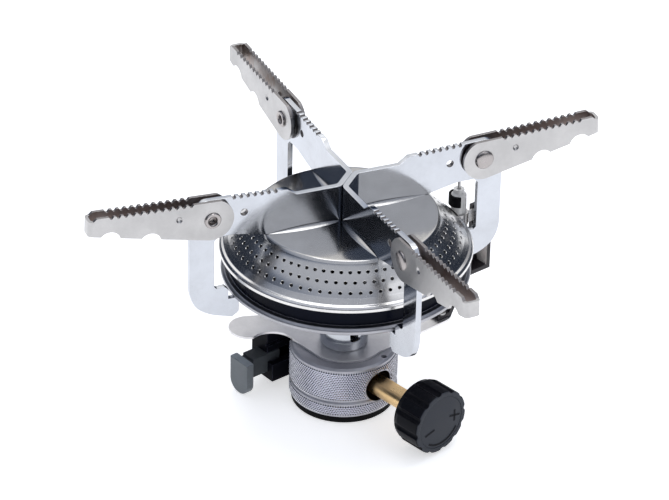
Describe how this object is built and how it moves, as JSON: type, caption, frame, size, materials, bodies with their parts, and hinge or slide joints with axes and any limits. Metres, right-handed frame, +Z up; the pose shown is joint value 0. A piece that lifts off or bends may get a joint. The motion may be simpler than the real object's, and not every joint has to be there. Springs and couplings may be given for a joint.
{
  "type": "backpacking stove",
  "caption": "Folding backpacking stove that screws on a gas cartridge: cross-shaped pot supports with toothed folding leaves, perforated burner, knurled valve base, knob and push igniter.",
  "frame": {"origin": "centre of the base's underside, on the burner's axis", "axes": "+Z up along the burner's axis, +X along the right-hand pot support, the knob points to the front right"},
  "size_m": [0.2038, 0.204, 0.1013],
  "materials": {
    "base_aluminium": "turned and knurled, matt",
    "rubber_black": "matt",
    "brass": "turned",
    "seal_rubber": "matt",
    "filter_bronze": "sintered",
    "steel": "bright",
    "knob_black": "satin",
    "knob_grey": "satin",
    "plate_steel": "satin",
    "tube_chrome": "bright",
    "burner_steel": "polished",
    "support_zinc": "zinc plated",
    "leaf_steel": "satin",
    "rivet_steel": "bright",
    "igniter_black": "satin",
    "button_grey": "satin",
    "bracket_black": "matt",
    "ceramic_white": "glazed",
    "lead_black": "matt"
  },
  "bodies": {
    "stove": {"base_body": "base_aluminium", "base_ring": "rubber_black", "inlet_seal": "seal_rubber", "gas_filter": "filter_bronze", "valve_pin": "brass", "spindle_seal": "seal_rubber", "gland_nut": "brass", "gas_jet": "brass", "bracket_plate": "plate_steel", "tube_socket": "tube_chrome", "mixing_tube": "tube_chrome", "burner_bowl": "burner_steel", "burner_cap": "burner_steel", "support_sheet_left": "support_zinc", "support_sheet_right": "support_zinc", "leaf_rivets": "rivet_steel", "leaf_washers": "steel", "igniter_housing": "igniter_black", "igniter_screw": "steel", "electrode_bracket": "bracket_black", "bracket_rivets": "steel", "electrode_clip": "steel", "electrode_ceramic": "ceramic_white", "electrode_sleeve": "rubber_black", "electrode_wire": "steel", "igniter_lead": "lead_black"},
    "leaf_right_body": {"leaf_right": "leaf_steel"},
    "leaf_rear_body": {"leaf_rear": "leaf_steel"},
    "leaf_left_body": {"leaf_left": "leaf_steel"},
    "leaf_front_body": {"leaf_front": "leaf_steel"},
    "knob_body": {"knob": "knob_black", "knob_face": "knob_grey", "valve_spindle": "brass"},
    "needle_body": {"valve_needle": "steel"},
    "button_body": {"igniter_button": "button_grey"}
  },
  "joints": [
    {"name": "leaf_right_fold", "type": "hinge", "parent": "stove", "child": "leaf_right_body", "pos_m": [0.0548, 0.0032, 0.0917], "axis": [0, -1, 0], "range_deg": [0, 165]},
    {"name": "leaf_rear_fold", "type": "hinge", "parent": "stove", "child": "leaf_rear_body", "pos_m": [-0.00149, 0.05487, 0.0917], "axis": [0.9963, 0.0854, 0], "range_deg": [0, 165]},
    {"name": "leaf_left_fold", "type": "hinge", "parent": "stove", "child": "leaf_left_body", "pos_m": [-0.0548, -0.0032, 0.0917], "axis": [0, 1, 0], "range_deg": [0, 165]},
    {"name": "leaf_front_fold", "type": "hinge", "parent": "stove", "child": "leaf_front_body", "pos_m": [0.00149, -0.05487, 0.0917], "axis": [-0.9963, -0.0854, 0], "range_deg": [0, 165]},
    {"name": "knob_turn", "type": "hinge", "parent": "stove", "child": "knob_body", "pos_m": [0, 0, 0.0138], "axis": [0.3616, -0.9323, 0], "range_deg": [0, 720]},
    {"name": "needle_slide", "type": "slide", "parent": "stove", "child": "needle_body", "axis": [0.3616, -0.9323, 0], "range_m": [0, 0.0015]},
    {"name": "button_press", "type": "slide", "parent": "stove", "child": "button_body", "axis": [0.9563, 0.2924, 0], "range_m": [0, 0.005], "stiffness_N_per_m": 2500}
  ],
  "couplings": [
    {"joint": "needle_slide", "follows": "knob_turn", "m_per_rad": 0.00011937}
  ]
}
